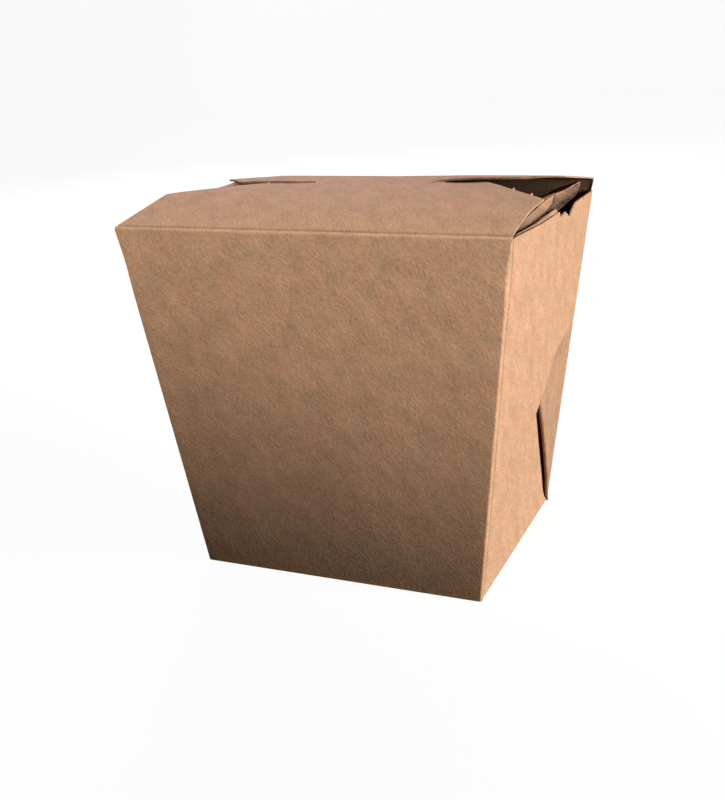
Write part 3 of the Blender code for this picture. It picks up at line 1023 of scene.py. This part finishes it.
def far_flap(side):
    """The part behind the tear, whose outer edge is free and whose far end is cut at a slant."""

    def place(along, across):
        start = tear_line(across) + TEAR_GAP
        end = FLAP_END_Y - END_SLANT * np.clip(1 - across / RIDGE_SHARE, 0, 1) ** 2
        y = start + (end - start) * along
        lifted = TEAR_LIFT * (1 - smooth(0, 0.35, along)) * smooth(0.05, 0.2, across)
        free_z = FREE_Z + lifted + FREE_LIFT_SHARE * left_lift(side, y)
        free_x = FREE_X - FREE_TAPER * along
        x, y, z, u, v, painted_light_and_marks = ridge_surface(side, y, free_x, free_z, across, FREE_HOLLOW)
        # Painted shade over the outer part, lighter on the inner slope near the tear, and a painted dark
        # line for a slot.
        tone_and_painted_light = 3.8 * (1 - smooth(0, 0.45, across)) + 3.4 * (across < RIDGE_SHARE - 0.03)
        inner_slope = smooth(RIDGE_SHARE, RIDGE_SHARE + 0.1, across)
        tone_and_painted_light = tone_and_painted_light - 5 * (1 - smooth(0, 0.6, along)) * inner_slope
        painted_slot_shade = 5 * bump(RIDGE_SHARE - 0.07, 0.02, across) * smooth(0.6, 0.75, along)
        return x, y, z, u, v, painted_light_and_marks - tone_and_painted_light - painted_slot_shade

    return place


# %% [markdown]
# ### The side boards
# The panel and the part on the rim share the columns up to the tear, so they weld into one board. The
# part behind the tear is a board of its own. The left side is the right one mirrored.

# %% Make the side boards
PANEL_SHARES = np.unique(np.concatenate([np.linspace(-1, 1, 49), spaced((0.0, 0), (0.5, 60))]))
HINGED = PANEL_SHARES[PANEL_SHARES <= TEAR_Y / TOP_HALF_DEPTH]
ACROSS = np.unique(np.concatenate([np.linspace(0, 1, 17), np.linspace(0, 0.46, 24), TEAR_PLACES]))


def side_board(side, name):
    """The panel with the hinged part of its flap as one board, and the torn part as another."""
    panel_patch = patch(panel(side), PANEL_SHARES, spaced((0, 0), (1, 6), (2, 48)))
    near_patch = patch(near_flap(side), HINGED, ACROSS)
    far_patch = patch(far_flap(side), np.linspace(0, 1, 33), ACROSS)
    board(name + "_flap", [far_patch], (0, 0, 1), FINISHES)
    board(name, [panel_patch, near_patch], (side, 0, -0.3), FINISHES)


side_board(1, "side_board_right")
side_board(-1, "side_board_left")

# %% [markdown]
# ## The floor
# The box stands on a pale floor that curves up far behind it, so that no horizon shows. It is a profile
# turned about the upright, and glows a little, so that it stays nearly white and keeps a soft shadow.

# %% Build the floor
SWEEP_RADIUS = 1.4
SWEEP_BEND = 0.5
SWEEP_RISE = 1.5
FLOOR_GREY = 0.10
FLOOR_GLOW = 0.94


def sweep(angle, along):
    """The floor as a turned profile: flat, then a quarter circle, then straight up."""
    bend = np.clip(along - 1, 0, 1) * math.pi / 2
    radius = SWEEP_RADIUS * np.clip(along, 0, 1) + SWEEP_BEND * np.sin(bend)
    height = SWEEP_BEND * (1 - np.cos(bend)) + SWEEP_RISE * np.clip(along - 2, 0, 1)
    return radius * np.cos(angle), radius * np.sin(angle), height, radius, angle, 0 * angle


def floor_material():
    """Pale paper: matt, with a little glow."""
    material = bpy.data.materials.new("studio_paper")
    material.use_nodes = True
    shader = material.node_tree.nodes["Principled BSDF"].inputs
    shader["Base Color"].default_value = (FLOOR_GREY, FLOOR_GREY, FLOOR_GREY, 1)
    shader["Roughness"].default_value = 1.0
    shader["Specular IOR Level"].default_value = 0.0
    shader["Emission Color"].default_value = (1, 1, 1, 1)
    shader["Emission Strength"].default_value = FLOOR_GLOW
    return material


sweep_patch = patch(sweep, np.linspace(0, 2 * math.pi, 97), spaced((0, 0), (1, 3), (2, 12), (3, 1)))
floor_mesh = open_sheet("studio_floor", [sweep_patch])
weld(floor_mesh, Vector((0, 0, -1)))
floor_mesh.flip_normals()
floor_mesh.materials.append(floor_material())
floor_mesh.shade_smooth()
floor = bpy.data.objects.new("studio_floor", floor_mesh)
bpy.context.scene.collection.objects.link(floor)
floor.visible_diffuse = False
floor.visible_glossy = False
floor.visible_shadow = False
print("the floor has", len(floor_mesh.polygons), "faces")

# %% [markdown]
# ## The light
# The light comes from a soft box at the right, a spot above the front that fades towards the foot of the
# front wall, and a weak soft box behind at the left. The world adds a little from above.

# %% Set the lights
SPOT_CONE = math.radians(52.25)
SPOT_FADE = 0.2
SPOT_RADIUS = 0.04
SKY_STRENGTH = 0.22


def place_light(light, location, target):
    """Puts a light at its location and turns it so that it shines at the target."""
    lamp = bpy.data.objects.new(light.name, light)
    bpy.context.scene.collection.objects.link(lamp)
    lamp.location = location
    direction = Vector(target) - lamp.location
    lamp.rotation_euler = direction.to_track_quat("-Z", "Y").to_euler()
    print(light.name, "stands", round(direction.length, 2), "m from its target")


def soft_box(name, location, target, size, power, colour=(1, 1, 1)):
    """A square area light aimed at a point."""
    light = bpy.data.lights.new(name, "AREA")
    light.shape = "SQUARE"
    light.size = size
    light.energy = power
    light.color = colour
    place_light(light, location, target)


def soft_spot(name, location, target, power):
    """A spot whose cone fades out over its outer part."""
    light = bpy.data.lights.new(name, "SPOT")
    light.energy = power
    light.spot_size = SPOT_CONE
    light.spot_blend = SPOT_FADE
    light.shadow_soft_size = SPOT_RADIUS
    place_light(light, location, target)


def sky():
    """A world that is dark at the horizon and brightens evenly to the top of the sky."""
    world = bpy.data.worlds.new("studio")
    world.use_nodes = True
    tree = world.node_tree
    direction = add_node(tree, "ShaderNodeTexCoord").outputs["Generated"]
    height = add_node(tree, "ShaderNodeSeparateXYZ", {0: direction}).outputs["Z"]
    inputs = {"Value": height, "From Min": 0.0, "From Max": 1.0, "To Max": SKY_STRENGTH}
    above = add_node(tree, "ShaderNodeMapRange", inputs).outputs[0]
    tree.links.new(above, tree.nodes["Background"].inputs["Strength"])
    return world


soft_box("right_soft_box", (0.70, -0.04, 0.14), (0, 0, 0.06), 0.22, 8.3)
soft_spot("front_spot", (-0.099, -1.026, 0.766), (0.030, -0.055, 0.564), 61.0)
soft_box("back_soft_box", (-0.35, 0.60, 0.38), (0, 0.03, 0.06), 0.30, 3.7, (1, 0.86, 0.91))
bpy.context.scene.world = sky()

# %% [markdown]
# ## The camera
# The camera stands where the photo was taken from: to the right of the front, looking slightly down and
# rolled a little. Its place comes from its bearing, its height and its distance to a point in the box.

# %% Set the camera
CAMERA_AZIMUTH = math.radians(24.467)
CAMERA_ELEVATION = math.radians(19.488)
CAMERA_ROLL = math.radians(-3.546)
CAMERA_DISTANCE = 0.327137
CAMERA_TARGET = Vector((-0.004552, 0, 0.039930))
LENS = 51.51

lens = bpy.data.cameras.new("camera")
lens.lens = LENS
lens.sensor_width = 36
lens.clip_start = 0.01
lens.clip_end = 20
camera = bpy.data.objects.new("camera", lens)
bpy.context.scene.collection.objects.link(camera)
level = math.cos(CAMERA_ELEVATION)
rise = math.sin(CAMERA_ELEVATION)
back = Vector((math.sin(CAMERA_AZIMUTH) * level, -math.cos(CAMERA_AZIMUTH) * level, rise))
turn = back.to_track_quat("Z", "Y") @ Matrix.Rotation(CAMERA_ROLL, 3, "Z").to_quaternion()
camera.location = CAMERA_TARGET + CAMERA_DISTANCE * back
camera.rotation_euler = turn.to_euler()
bpy.context.scene.camera = camera
bpy.context.scene.view_settings.view_transform = "Standard"
print("the camera stands", round(CAMERA_DISTANCE, 3), "m from the box")

# %% Update the scene
bpy.context.view_layer.update()
